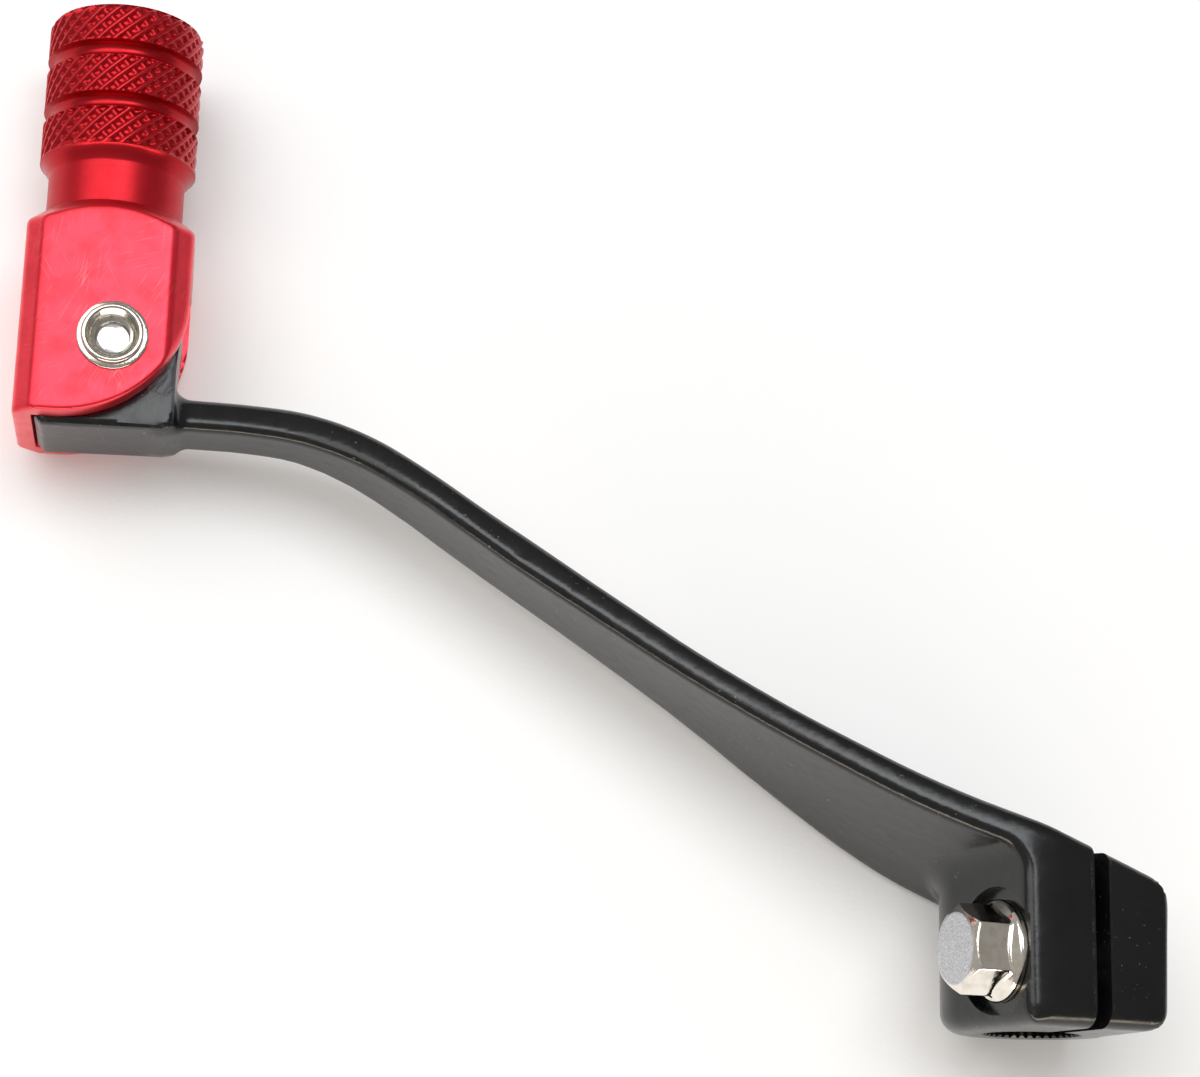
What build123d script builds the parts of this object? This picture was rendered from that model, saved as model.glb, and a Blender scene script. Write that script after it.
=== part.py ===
from build123d import *
import math
import os

# Gear shift lever with a folding toe tip, in millimetres.
# Origin: centre of the splined bore at the middle of the clamp boss.
# +Y runs along the bore, outboard, the way the toe peg points.
# -X runs along the lever towards the toe tip. +Z is the upper side as the lever lies on a table.

os.makedirs("parts", exist_ok=True)

# ---------------------------------------------------------------- driving dimensions
# clamp boss
boss_bottom = -11.0
boss_height = 27.0
boss_radius = 11.7
boss_front = 17.3
boss_half_bolt_side = 10.4
boss_half_far_side = 10.2
boss_turn = 13.0
boss_top_slope = 20.5
boss_top_at_axis = 12.6
boss_corner = 1.6
boss_far_corner = 3.0
slit_width = 2.0
spline_land_radius = 6.0
spline_depth = 0.55
spline_count = 36
slit_overrun = 6.0

# clamp bolt, M6 with a 10 mm hexagon and a flange
bolt_along_slit = 9.6
bolt_height = -1.6
bolt_diameter = 6.0
bolt_clearance_hole = 6.2
bolt_tapped_hole = 6.05
bolt_hex = 10.0
flange_diameter = 13.0
flange_edge = 1.0
flange_cone = 0.9
flange_cone_radius = 5.3
bolt_head_height = 6.9
bolt_hex_turn = 30.0
bolt_corner_reach = 5.8
bolt_corner_drop = 0.55
bolt_top_radius = 4.8
bolt_reach = 20.5
bolt_end_chamfer = 0.8
spot_face_diameter = 15.6
spot_face_seat = 10.0
spot_face_depth = 12.0

# arm: stations as X, Y of the lower front edge, heading in degrees, front thickness,
# drop of the lower rear edge, and half-depths to the front (+Z) and to the rear (-Z)
arm_stations = [
    (-117.0, 61.0, 0.0, 4.5, 0.0, 5.2, 5.2),
    (-105.0, 60.9, -3.0, 4.5, 0.0, 5.2, 5.2),
    (-98.0, 60.1, -10.5, 4.7, 0.0, 5.4, 5.4),
    (-91.0, 57.8, -21.0, 4.6, 0.0, 6.3, 6.3),
    (-84.0, 54.1, -30.5, 4.4, 0.0, 7.3, 7.3),
    (-70.0, 45.0, -32.0, 4.5, 0.0, 7.9, 7.9),
    (-56.0, 36.3, -30.5, 4.2, 0.0, 9.0, 9.0),
    (-42.0, 27.8, -27.5, 4.1, 0.6, 11.4, 10.2),
    (-28.0, 20.1, -24.5, 4.1, 2.4, 14.6, 11.2),
    (-14.0, 13.6, -20.5, 4.1, 4.4, 17.4, 11.7),
    (-5.0, 10.3, -20.5, 4.1, 5.0, 18.6, 11.7),
]
arm_edge_radius = 1.2

# tongue and pivot
pivot_x = -122.6
pivot_y = 71.06
tongue_half = 7.0
tongue_left = -131.7
tongue_bottom = 60.0
tongue_right = -114.4
tongue_corner = 1.2
tongue_side_top = 69.0
cam_radius = 7.6
cam_rise_per_radian = 1.4
cam_lead_in = 12
cam_step = 6
cam_left_above_pivot = 1.5
fold_limit = 70.0
bush_outer = 8.0
bush_inner = 6.46
washer_recess_diameter = 11.2
washer_recess_depth = 0.45
washer_outer = 10.9
washer_thickness = 0.5
seal_groove_outer = 13.4
seal_groove_depth = 0.85
seal_mean_radius = 6.14
seal_section = 0.9

# toe tip
clevis_left = -134.5
clevis_right = -113.2
clevis_half = 10.5
clevis_bottom = 60.8
clevis_bevel = 2.5
clevis_stock_above_apex = 3.0
web_inner = -131.95
slot_half = 7.2
slot_ceiling = 82.0
ear_arc_radius = 16.2
ear_side_meets = 77.0
peg_x = -123.9
shoulder_apex = 88.6
shoulder_slope = 0.78
cone_reach = 16.0
neck_radius = 8.85
neck_top = 95.5
land_radius = 10.15
land_length = 5.1
groove_length = 2.15
groove_depth = 1.35
land_start = 97.3
land_count = 3
peg_top_chamfer = 0.45

# rivet
rivet_diameter = 6.4
rivet_hole_in_ear = 6.4
rivet_washer_diameter = 9.2
rivet_washer_thickness = 0.5
rivet_rim_radius = 3.95
rivet_rim_height = 0.8
rivet_rim_crown_offset = 0.15
rivet_rim_inner_drop = 0.1
rivet_head_radius = 5.2
rivet_head_height = 1.6
rivet_head_edge = 0.5
rivet_head_bevel = 0.9
rivet_funnel_radius = 3.25
rivet_step_radius = 2.55
rivet_step_depth = 1.2
rivet_hollow_radius = 2.2
rivet_hollow_depth = 2.8
rivet_floor_radius = 1.85
rivet_floor_corner = 0.35

# detent
plunger_bore = 7.0
plunger_bore_top = 106.0
plunger_radius = 3.45
plunger_nose = 2.0
plunger_taper = 1.6
plunger_gap = 0.02
plunger_length = 9.0
plunger_stem_radius = 1.6
plunger_stem_length = 5.0
spring_wire = 0.8
spring_mean_radius = 2.6
spring_turns = 7

# cutting bodies: side and depth past the part, and overlap past an open face
cut_size = 80.0
cut_depth = 30.0
overlap = 1.0

# ---------------------------------------------------------------- shared directions
turn = math.radians(boss_turn)
slit_dir = Vector(math.sin(turn), 0, math.cos(turn))
bolt_dir = Vector(-math.cos(turn), 0, math.sin(turn))


def bolt_plane(distance):
    # plane across the bolt axis, at a distance from the bore axis towards the bolt head
    centre = slit_dir * bolt_along_slit + bolt_dir * distance + Vector(0, bolt_height, 0)
    return Plane(origin=centre, x_dir=slit_dir, z_dir=bolt_dir)


def boss_plane(height):
    # plane across the bore axis: local x runs along the slit, local y away from the bolt head
    return Plane(origin=(0, height, 0), x_dir=slit_dir, z_dir=(0, 1, 0))


def tangent_point(corner_x, corner_y, radius):
    # where a line from the corner touches the circle, on the side that the corner is on
    reach = math.hypot(corner_x, corner_y)
    side = 1 if corner_y > 0 else -1
    angle = math.atan2(corner_y, corner_x) + side * math.acos(radius / reach)
    return (radius * math.cos(angle), radius * math.sin(angle))


# ---------------------------------------------------------------- lever_arm
bolt_corner = (boss_front, -boss_half_bolt_side)
far_corner = (boss_front, boss_half_far_side)
bolt_tangent = tangent_point(*bolt_corner, boss_radius)
far_tangent = tangent_point(*far_corner, boss_radius)


def cam_point(fold):
    # tongue surface point under the plunger nose at a fold angle, about the pivot
    centre_reach = cam_radius + plunger_nose + cam_rise_per_radian * fold
    lean = math.atan(cam_rise_per_radian / centre_reach)
    angle = math.pi / 2 - fold
    normal = angle + lean
    x = centre_reach * math.cos(angle) - plunger_nose * math.cos(normal)
    y = centre_reach * math.sin(angle) - plunger_nose * math.sin(normal)
    return (pivot_x + x, pivot_y + y)


cam_folds = range(-cam_lead_in, int(fold_limit) + 1, cam_step)
cam_points = [cam_point(math.radians(degrees)) for degrees in cam_folds]

with BuildPart() as boss_blank:
    # boss outline, cut to the slope of the arm's upper side, with rounded edges
    with BuildSketch(boss_plane(boss_bottom)):
        with BuildLine():
            Line(bolt_tangent, bolt_corner)
            Line(bolt_corner, far_corner)
            Line(far_corner, far_tangent)
            ThreePointArc(far_tangent, (-boss_radius, 0), bolt_tangent)
        make_face()
    extrude(amount=boss_height)
    slope = math.radians(boss_top_slope)
    slope_dir = Vector(math.cos(slope), -math.sin(slope), 0)
    slope_up = Vector(math.sin(slope), math.cos(slope), 0)
    with BuildSketch(Plane(origin=(0, boss_top_at_axis, 0), x_dir=slope_dir, z_dir=slope_up)):
        Rectangle(cut_size, cut_size)
    extrude(amount=cut_depth, mode=Mode.SUBTRACT)
    far_face = boss_blank.faces().sort_by(Axis(origin=(0, 0, 0), direction=bolt_dir))[0]
    fillet(far_face.edges().sort_by(Axis.Y)[-1], radius=boss_far_corner)
    fillet(boss_blank.faces().sort_by(Axis.Y)[0].edges(), radius=boss_corner)
    front_face = boss_blank.faces().sort_by(Axis(origin=(0, 0, 0), direction=slit_dir))[-1]
    fillet(front_face.edges().filter_by(Axis.Y), radius=boss_corner)

with BuildPart() as lever_arm:
    # slim arm
    for x, y, heading, thickness, drop, front, rear in arm_stations:
        course = math.radians(heading)
        along = (math.cos(course), math.sin(course), 0)
        with BuildSketch(Plane(origin=(x, y, 0), x_dir=(0, 0, -1), z_dir=along)) as section:
            with BuildLine():
                Polyline((-front, 0), (-front, thickness), (rear, thickness), (rear, -drop), close=True)
            make_face()
            fillet(section.vertices(), radius=arm_edge_radius)
    loft()
    add(boss_blank.part)

    # tongue with the constant-rise cam on its upper side
    with BuildSketch(Plane.XY.offset(-tongue_half)) as tongue:
        with BuildLine():
            top = Spline(*cam_points)
            left = TangentArc(top @ 0, (tongue_left, pivot_y + cam_left_above_pivot), tangent=top % 0 * -1)
            heel = Line(left @ 1, (tongue_left, tongue_bottom))
            foot = Line(heel @ 1, (tongue_right, tongue_bottom))
            side = Line(foot @ 1, (tongue_right, tongue_side_top))
            Line(side @ 1, top @ 1)
        make_face()
        fillet(tongue.vertices().group_by(Axis.Y)[0], radius=tongue_corner)
    extrude(amount=2 * tongue_half)

    # spline bore, slit, bolt holes and spot face
    with BuildSketch(boss_plane(boss_bottom)):
        Circle(spline_land_radius)
        with PolarLocations(spline_land_radius, spline_count):
            RegularPolygon(spline_depth, 3)
    extrude(amount=boss_height, mode=Mode.SUBTRACT)
    with BuildSketch(boss_plane(boss_bottom)):
        with Locations(((boss_front + slit_overrun) / 2, 0)):
            Rectangle(boss_front + slit_overrun, slit_width)
    extrude(amount=boss_height, mode=Mode.SUBTRACT)
    with BuildSketch(bolt_plane(0)):
        Circle(bolt_clearance_hole / 2)
    extrude(amount=cut_depth, mode=Mode.SUBTRACT)
    with BuildSketch(bolt_plane(0)):
        Circle(bolt_tapped_hole / 2)
    extrude(amount=-cut_depth, mode=Mode.SUBTRACT)
    with BuildSketch(bolt_plane(spot_face_seat)):
        Circle(spot_face_diameter / 2)
    extrude(amount=spot_face_depth, mode=Mode.SUBTRACT)

    # bush bore with a washer recess and a seal groove in each cheek
    with BuildSketch(Plane.XY.offset(-tongue_half)):
        with Locations((pivot_x, pivot_y)):
            Circle(bush_outer / 2)
    extrude(amount=2 * tongue_half, mode=Mode.SUBTRACT)
    for face in (1, -1):
        with BuildSketch(Plane.XY.offset(face * tongue_half)):
            with Locations((pivot_x, pivot_y)):
                Circle(washer_recess_diameter / 2)
        extrude(amount=-face * washer_recess_depth, mode=Mode.SUBTRACT)
        with BuildSketch(Plane.XY.offset(face * tongue_half)):
            with Locations((pivot_x, pivot_y)):
                Circle(seal_groove_outer / 2)
                Circle(washer_recess_diameter / 2, mode=Mode.SUBTRACT)
        extrude(amount=-face * seal_groove_depth, mode=Mode.SUBTRACT)
lever_arm.part.label = "lever_arm"
export_step(lever_arm.part, "parts/lever_arm.step")

# ---------------------------------------------------------------- clamp_bolt
bolt_axis = Axis(bolt_plane(0).origin, bolt_dir)
bolt_profile = Plane(origin=bolt_plane(spot_face_seat).origin, x_dir=slit_dir, z_dir=slit_dir.cross(bolt_dir))
with BuildPart() as clamp_bolt:
    # hexagon with its corners turned off at the top
    with BuildSketch(bolt_plane(spot_face_seat)):
        RegularPolygon(bolt_hex / 2, 6, major_radius=False, rotation=bolt_hex_turn)
    extrude(amount=bolt_head_height)
    with BuildSketch(bolt_profile):
        with BuildLine():
            Polyline(
                (0, 0),
                (bolt_corner_reach, 0),
                (bolt_corner_reach, bolt_head_height - bolt_corner_drop),
                (bolt_top_radius, bolt_head_height),
                (0, bolt_head_height),
                close=True,
            )
        make_face()
    revolve(axis=bolt_axis, mode=Mode.INTERSECT)
    # flange and shank
    with BuildSketch(bolt_profile):
        with BuildLine():
            Polyline(
                (0, 0),
                (flange_diameter / 2, 0),
                (flange_diameter / 2, flange_edge),
                (flange_cone_radius, flange_edge + flange_cone),
                (0, flange_edge + flange_cone),
                close=True,
            )
        make_face()
    revolve(axis=bolt_axis)
    with BuildSketch(bolt_plane(spot_face_seat)):
        Circle(bolt_diameter / 2)
    extrude(amount=-bolt_reach)
    bolt_end = clamp_bolt.faces().sort_by(Axis(origin=(0, 0, 0), direction=bolt_dir))[0]
    chamfer(bolt_end.edges(), length=bolt_end_chamfer)
clamp_bolt.part.label = "clamp_bolt"
export_step(clamp_bolt.part, "parts/clamp_bolt.step")

# ---------------------------------------------------------------- toe_tip
arc_centre = (clevis_right - ear_arc_radius, ear_side_meets)
arc_middle = (
    arc_centre[0] + ear_arc_radius * math.sin(math.pi / 4),
    arc_centre[1] - ear_arc_radius * math.cos(math.pi / 4),
)
block_top = shoulder_apex + clevis_stock_above_apex
peg_plane = Plane(origin=(peg_x, 0, 0), x_dir=(1, 0, 0), z_dir=(0, 0, 1))
cone_low = shoulder_apex - (cone_reach - clevis_half) * shoulder_slope
cone_high = shoulder_apex + (clevis_half - neck_radius) * shoulder_slope
peg_top = land_start + land_count * land_length + (land_count - 1) * groove_length

with BuildPart() as toe_tip:
    # clevis block with bevelled long edges
    with BuildSketch(Plane.XY.offset(-clevis_half)):
        with BuildLine():
            Line((clevis_left, clevis_bottom), (arc_centre[0], clevis_bottom))
            ThreePointArc((arc_centre[0], clevis_bottom), arc_middle, (clevis_right, ear_side_meets))
            Line((clevis_right, ear_side_meets), (clevis_right, block_top))
            Line((clevis_right, block_top), (clevis_left, block_top))
            Line((clevis_left, block_top), (clevis_left, clevis_bottom))
        make_face()
    extrude(amount=2 * clevis_half)
    with BuildSketch(Plane.XZ.offset(-clevis_bottom)):
        with Locations(((clevis_left + clevis_right) / 2, 0)):
            bevelled = Rectangle(clevis_right - clevis_left, 2 * clevis_half)
            chamfer(bevelled.vertices(), length=clevis_bevel)
    extrude(amount=-(block_top - clevis_bottom), mode=Mode.INTERSECT)

    # cone shoulder turned on the block, then the neck and the three lands of the peg
    with BuildSketch(peg_plane):
        with BuildLine():
            Polyline(
                (0, clevis_bottom),
                (cone_reach, clevis_bottom),
                (cone_reach, cone_low),
                (neck_radius, cone_high),
                (0, cone_high),
                close=True,
            )
        make_face()
    revolve(axis=Axis((peg_x, 0, 0), (0, 1, 0)), mode=Mode.INTERSECT)
    with BuildSketch(peg_plane):
        with BuildLine():
            Line((0, slot_ceiling), (neck_radius, slot_ceiling))
            Line((neck_radius, slot_ceiling), (neck_radius, neck_top))
            Line((neck_radius, neck_top), (land_radius, land_start))
            for land in range(land_count):
                low = land_start + land * (land_length + groove_length)
                high = low + land_length
                if land < land_count - 1:
                    Line((land_radius, low), (land_radius, high))
                    ThreePointArc(
                        (land_radius, high),
                        (land_radius - groove_depth, high + groove_length / 2),
                        (land_radius, high + groove_length),
                    )
                else:
                    Line((land_radius, low), (land_radius, high - peg_top_chamfer))
            Line((land_radius, peg_top - peg_top_chamfer), (land_radius - peg_top_chamfer, peg_top))
            Line((land_radius - peg_top_chamfer, peg_top), (0, peg_top))
            Line((0, peg_top), (0, slot_ceiling))
        make_face()
    revolve(axis=Axis((peg_x, 0, 0), (0, 1, 0)))

    # slot, open at the bottom and on the side that folds over the arm
    with BuildSketch(Plane.XY.offset(-slot_half)):
        with BuildLine():
            Polyline(
                (web_inner, clevis_bottom - overlap),
                (clevis_right + overlap, clevis_bottom - overlap),
                (clevis_right + overlap, slot_ceiling),
                (web_inner, slot_ceiling),
                close=True,
            )
        make_face()
    extrude(amount=2 * slot_half, mode=Mode.SUBTRACT)

    # rivet hole and plunger bore
    with BuildSketch(Plane.XY.offset(-clevis_half)):
        with Locations((pivot_x, pivot_y)):
            Circle(rivet_hole_in_ear / 2)
    extrude(amount=2 * clevis_half, mode=Mode.SUBTRACT)
    with BuildSketch(Plane.XZ.offset(-slot_ceiling)):
        with Locations((pivot_x, 0)):
            Circle(plunger_bore / 2)
    extrude(amount=-(plunger_bore_top - slot_ceiling), mode=Mode.SUBTRACT)
toe_tip.part.label = "toe_tip"
export_step(toe_tip.part, "parts/toe_tip.step")

# ---------------------------------------------------------------- pivot_pin
rim_base = clevis_half + rivet_washer_thickness
rim_top = rim_base + rivet_rim_height
with BuildPart() as pivot_pin:
    with BuildSketch(Plane(origin=(pivot_x, pivot_y, 0), x_dir=(1, 0, 0), z_dir=(0, -1, 0))):
        with BuildLine():
            Polyline(
                (0, -clevis_half - rivet_head_height),
                (rivet_head_radius - rivet_head_bevel, -clevis_half - rivet_head_height),
                (rivet_head_radius, -clevis_half - rivet_head_edge),
                (rivet_head_radius, -clevis_half),
                (rivet_diameter / 2, -clevis_half),
                (rivet_diameter / 2, rim_base),
                (rivet_rim_radius, rim_base),
            )
            ThreePointArc(
                (rivet_rim_radius, rim_base),
                ((rivet_rim_radius + rivet_funnel_radius) / 2 + rivet_rim_crown_offset, rim_top),
                (rivet_funnel_radius, rim_base + rivet_rim_inner_drop),
            )
            Polyline(
                (rivet_funnel_radius, rim_base + rivet_rim_inner_drop),
                (rivet_step_radius, rim_top - rivet_step_depth),
                (rivet_hollow_radius, rim_top - rivet_hollow_depth + rivet_floor_corner),
                (rivet_floor_radius, rim_top - rivet_hollow_depth),
                (0, rim_top - rivet_hollow_depth),
                (0, -clevis_half - rivet_head_height),
            )
        make_face()
    revolve(axis=Axis((pivot_x, pivot_y, 0), (0, 0, 1)))
pivot_pin.part.label = "pivot_pin"
export_step(pivot_pin.part, "parts/pivot_pin.step")

# ---------------------------------------------------------------- rivet_washer
with BuildPart() as rivet_washer:
    with BuildSketch(Plane.XY.offset(clevis_half)):
        with Locations((pivot_x, pivot_y)):
            Circle(rivet_washer_diameter / 2)
            Circle(rivet_diameter / 2, mode=Mode.SUBTRACT)
    extrude(amount=rivet_washer_thickness)
rivet_washer.part.label = "rivet_washer"
export_step(rivet_washer.part, "parts/rivet_washer.step")

# ---------------------------------------------------------------- pivot_bush
bush_half = tongue_half - washer_recess_depth
with BuildPart() as pivot_bush:
    with BuildSketch(Plane.XY.offset(-bush_half)):
        with Locations((pivot_x, pivot_y)):
            Circle(bush_outer / 2)
            Circle(bush_inner / 2, mode=Mode.SUBTRACT)
    extrude(amount=2 * bush_half)
pivot_bush.part.label = "pivot_bush"
export_step(pivot_bush.part, "parts/pivot_bush.step")

# ---------------------------------------------------------------- thrust washers
with BuildPart() as thrust_washer_upper:
    with BuildSketch(Plane.XY.offset(bush_half)):
        with Locations((pivot_x, pivot_y)):
            Circle(washer_outer / 2)
            Circle(bush_inner / 2, mode=Mode.SUBTRACT)
    extrude(amount=washer_thickness)
thrust_washer_upper.part.label = "thrust_washer_upper"
export_step(thrust_washer_upper.part, "parts/thrust_washer_upper.step")

with BuildPart() as thrust_washer_lower:
    add(thrust_washer_upper.part.mirror(Plane.XY))
thrust_washer_lower.part.label = "thrust_washer_lower"
export_step(thrust_washer_lower.part, "parts/thrust_washer_lower.step")

# ---------------------------------------------------------------- dust seals
with BuildPart() as dust_seal_upper:
    with BuildSketch(Plane(origin=(pivot_x, pivot_y, 0), x_dir=(1, 0, 0), z_dir=(0, -1, 0))):
        with Locations((seal_mean_radius, tongue_half - seal_groove_depth + seal_section / 2)):
            Circle(seal_section / 2)
    revolve(axis=Axis((pivot_x, pivot_y, 0), (0, 0, 1)))
dust_seal_upper.part.label = "dust_seal_upper"
export_step(dust_seal_upper.part, "parts/dust_seal_upper.step")

with BuildPart() as dust_seal_lower:
    add(dust_seal_upper.part.mirror(Plane.XY))
dust_seal_lower.part.label = "dust_seal_lower"
export_step(dust_seal_lower.part, "parts/dust_seal_lower.step")

# ---------------------------------------------------------------- detent_plunger
nose_tip = pivot_y + cam_radius + plunger_gap
plunger_plane = Plane(origin=(pivot_x, 0, 0), x_dir=(1, 0, 0), z_dir=(0, 0, 1))
plunger_shoulder = nose_tip + plunger_nose + plunger_taper
plunger_seat = nose_tip + plunger_length
with BuildPart() as detent_plunger:
    with BuildSketch(plunger_plane):
        with BuildLine():
            Line((0, nose_tip), (0, plunger_seat + plunger_stem_length))
            Polyline(
                (0, plunger_seat + plunger_stem_length),
                (plunger_stem_radius, plunger_seat + plunger_stem_length),
                (plunger_stem_radius, plunger_seat),
                (plunger_radius, plunger_seat),
                (plunger_radius, plunger_shoulder),
                (plunger_nose, nose_tip + plunger_nose),
            )
            RadiusArc((plunger_nose, nose_tip + plunger_nose), (0, nose_tip), plunger_nose)
        make_face()
    revolve(axis=Axis((pivot_x, 0, 0), (0, 1, 0)))
detent_plunger.part.label = "detent_plunger"
export_step(detent_plunger.part, "parts/detent_plunger.step")

# ---------------------------------------------------------------- detent_spring
spring_length = plunger_bore_top - plunger_seat
spring_rise = spring_length - spring_wire - 2 * plunger_gap
spring_start = plunger_seat + plunger_gap + spring_wire / 2
with BuildPart() as detent_spring:
    with BuildLine() as coil:
        Helix(
            pitch=spring_rise / spring_turns,
            height=spring_rise,
            radius=spring_mean_radius,
            center=(pivot_x, spring_start, 0),
            direction=(0, 1, 0),
        )
    with BuildSketch(Plane(origin=coil.line @ 0, z_dir=coil.line % 0)):
        Circle(spring_wire / 2)
    sweep(is_frenet=True)
detent_spring.part.label = "detent_spring"
export_step(detent_spring.part, "parts/detent_spring.step")
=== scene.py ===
import math
import bpy
import numpy as np
from mathutils import Matrix, Vector


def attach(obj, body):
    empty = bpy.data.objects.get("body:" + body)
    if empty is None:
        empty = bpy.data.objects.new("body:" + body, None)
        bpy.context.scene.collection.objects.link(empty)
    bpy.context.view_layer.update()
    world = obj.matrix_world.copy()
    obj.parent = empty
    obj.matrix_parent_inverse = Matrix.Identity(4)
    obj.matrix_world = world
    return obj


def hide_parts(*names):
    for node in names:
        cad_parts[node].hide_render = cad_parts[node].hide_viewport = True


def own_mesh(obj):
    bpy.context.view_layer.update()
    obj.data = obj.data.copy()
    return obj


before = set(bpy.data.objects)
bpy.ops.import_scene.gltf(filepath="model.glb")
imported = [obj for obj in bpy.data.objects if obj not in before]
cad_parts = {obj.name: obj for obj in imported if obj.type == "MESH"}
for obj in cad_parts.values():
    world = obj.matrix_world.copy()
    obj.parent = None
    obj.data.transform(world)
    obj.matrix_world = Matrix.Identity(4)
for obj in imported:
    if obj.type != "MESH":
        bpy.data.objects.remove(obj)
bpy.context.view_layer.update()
MM = 0.001
AXIS_X, AXIS_Y, AXIS_Z = (1, 0, 0), (0, 1, 0), (0, 0, 1)


# ------------------------------------------------------------------ implicit shapes, in millimetres
def smax(a, b, r):
    # intersection with an edge rounded to radius r
    u = np.maximum(a + r, 0.0)
    v = np.maximum(b + r, 0.0)
    return np.minimum(np.maximum(a, b), -r) + np.sqrt(u * u + v * v)


def smin(a, b, r):
    # union with a fillet of radius r in the corner
    return -smax(-a, -b, r)


SLAB = 24       # grid layers worked out at once, to save memory
PULLS = 4       # times the points are pulled on to the surface
NUDGE = 0.02    # half the distance over which a slope is measured


def surface(field, low, high, step, name):
    # mesh of field(x, y, z) = 0 by surface nets, pulled on to the exact surface
    low = np.array(low, float)
    count = [int(math.ceil((high[i] - low[i]) / step)) + 1 for i in range(3)]
    axes = [low[i] + step * np.arange(count[i]) for i in range(3)]
    grid = np.empty(count, np.float32)
    for i in range(0, count[0], SLAB):
        x, y, z = np.meshgrid(axes[0][i:i + SLAB], axes[1], axes[2], indexing="ij")
        grid[i:i + SLAB] = field(x, y, z)
    inside = grid < 0
    total = np.zeros([n - 1 for n in count] + [3], np.float32)
    hits = np.zeros([n - 1 for n in count], np.float32)
    corners = [(a, b, c) for a in (0, 1) for b in (0, 1) for c in (0, 1)]

    def cell(block, corner):
        return block[tuple(slice(corner[i], count[i] - 1 + corner[i]) for i in range(3))]

    for axis in range(3):
        for corner in corners:
            if corner[axis]:
                continue
            other = list(corner)
            other[axis] = 1
            a, b = cell(grid, corner), cell(grid, other)
            crossing = cell(inside, corner) != cell(inside, other)
            t = np.where(crossing, a / np.where(crossing, a - b, 1), 0)
            for i in range(3):
                total[..., i] += np.where(crossing, corner[i] + (t if i == axis else 0), 0)
            hits += crossing
    used = hits > 0
    index = np.full(used.shape, -1, np.int64)
    index[used] = np.arange(used.sum())
    where = np.argwhere(used)
    points = (where + total[used] / hits[used][:, None]) * step + low
    for _ in range(PULLS):
        d = field(*points.T)
        g = np.stack([(field(*(points + e).T) - field(*(points - e).T)) / (2 * NUDGE)
                      for e in np.eye(3) * NUDGE], 1)
        move = d[:, None] * g / np.maximum((g * g).sum(1), 0.05)[:, None]
        size = np.linalg.norm(move, axis=1, keepdims=True)
        points = points - move * np.minimum(1, step * 0.5 / np.maximum(size, 1e-9))
    faces = []
    for axis in range(3):
        u, v = (axis + 1) % 3, (axis + 2) % 3
        a = [slice(1, n - 1) for n in count]
        b = [slice(1, n - 1) for n in count]
        a[axis], b[axis] = slice(0, count[axis] - 1), slice(1, count[axis])
        start, end = inside[tuple(a)], inside[tuple(b)]
        for first, second, flip in ((start, ~end, False), (~start, end, True)):
            at = np.argwhere(first & second)
            offset = np.ones(3, int)
            offset[axis] = 0
            at = at + offset
            quad = []
            for du, dv in ((1, 1), (0, 1), (0, 0), (1, 0)):
                c = at.copy()
                c[:, u] -= du
                c[:, v] -= dv
                quad.append(index[tuple(c.T)])
            quad = np.stack(quad, 1)
            faces.append(quad[:, ::-1] if flip else quad)
    return mesh_object(name, points, np.concatenate(faces))


def mesh_object(name, points, faces):
    # points are in millimetres
    mesh = bpy.data.meshes.new(name)
    mesh.from_pydata((np.asarray(points) * MM).tolist(), [], [list(map(int, f)) for f in faces])
    mesh.validate()
    mesh.update()
    mesh.polygons.foreach_set("use_smooth", [True] * len(mesh.polygons))
    obj = bpy.data.objects.new(name, mesh)
    bpy.context.scene.collection.objects.link(obj)
    return obj


def skin(rows, around, closed=False, flip=False):
    # quads from each ring of points to the next, and a cap on both ends unless the last ring joins the first
    faces = []
    for i in range(rows if closed else rows - 1):
        a, b = i * around, ((i + 1) % rows) * around
        for j in range(around):
            k = (j + 1) % around
            faces.append((a + j, b + j, b + k, a + k) if flip else (a + j, a + k, b + k, b + j))
    if not closed:
        start, end = tuple(range(around)), tuple(range((rows - 1) * around, rows * around))
        faces += [start, end[::-1]] if flip else [start[::-1], end]
    return faces


def lathe(name, profile, around, closed=False):
    # profile (radius, height) turned about local +Z
    turn = np.arange(around) * 2 * math.pi / around
    points = [(r * math.cos(a), r * math.sin(a), h) for r, h in profile for a in turn]
    return mesh_object(name, points, skin(len(profile), around, closed))


def place(obj, origin, x_dir, z_dir):
    # bakes a local frame into the mesh; the origin is in millimetres
    z = Vector(z_dir).normalized()
    x = Vector(x_dir).normalized()
    y = z.cross(x)
    turn = Matrix((x, y, z)).transposed().to_4x4()
    obj.data.transform(Matrix.Translation(Vector(origin) * MM) @ turn)
    return obj


def combine(obj, other, operation):
    # boolean of obj with other, which is used up
    step = obj.modifiers.new("cut", "BOOLEAN")
    step.operation = operation
    step.solver = "MANIFOLD"
    step.object = other
    graph = bpy.context.evaluated_depsgraph_get()
    mesh = bpy.data.meshes.new_from_object(obj.evaluated_get(graph))
    obj.modifiers.clear()
    old = obj.data
    obj.data = mesh
    bpy.data.meshes.remove(old)
    bpy.data.objects.remove(other)


def finish_mesh(obj, name, node, body, degrees):
    # smooth shading but for edges sharper than degrees; stands in for a CAD node and rides its body
    mesh = obj.data
    mesh.polygons.foreach_set("use_smooth", [True] * len(mesh.polygons))
    mesh.set_sharp_from_angle(angle=math.radians(degrees))
    obj.name = name
    mesh.name = name
    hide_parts(node)
    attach(obj, body)


def cut(obj, *cutters):
    for cutter in cutters:
        combine(obj, cutter, "DIFFERENCE")


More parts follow.
